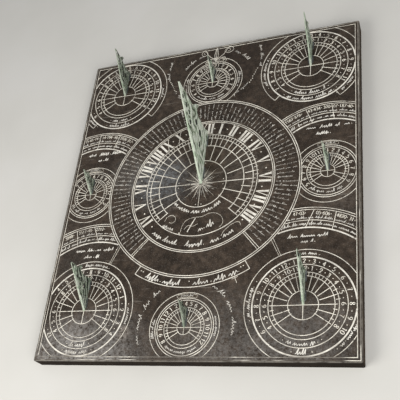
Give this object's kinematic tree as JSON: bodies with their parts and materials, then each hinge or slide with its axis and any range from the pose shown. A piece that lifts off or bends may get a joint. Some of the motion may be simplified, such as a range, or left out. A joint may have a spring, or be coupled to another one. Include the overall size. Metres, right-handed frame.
{
  "type": "garden sundial",
  "caption": "Rectangular slate sundial plate with one large and several smaller engraved dials, each with an upright bronze gnomon leaded into the face.",
  "frame": {"origin": "middle of the plate's underside", "axes": "+Z out of the dial face, +Y north along the noon line (the XII side), +X east"},
  "size_m": [0.521, 0.61, 0.1712],
  "materials": {
    "slate": "rubbed slate, engraved lines filled off-white",
    "bronze": "weathered bronze with verdigris",
    "lead": "dull grey lead, dressed flush"
  },
  "bodies": {
    "root": {"slate_plate": "slate", "main_gnomon": "bronze", "north_west_gnomon": "bronze", "north_east_gnomon": "bronze", "south_west_gnomon": "bronze", "south_east_gnomon": "bronze", "north_gnomon": "bronze", "south_gnomon": "bronze", "west_gnomon": "bronze", "east_gnomon": "bronze", "main_lead_caulking": "lead", "north_west_lead_caulking": "lead", "north_east_lead_caulking": "lead", "south_west_lead_caulking": "lead", "south_east_lead_caulking": "lead", "north_lead_caulking": "lead", "south_lead_caulking": "lead", "west_lead_caulking": "lead", "east_lead_caulking": "lead"}
  },
  "joints": []
}
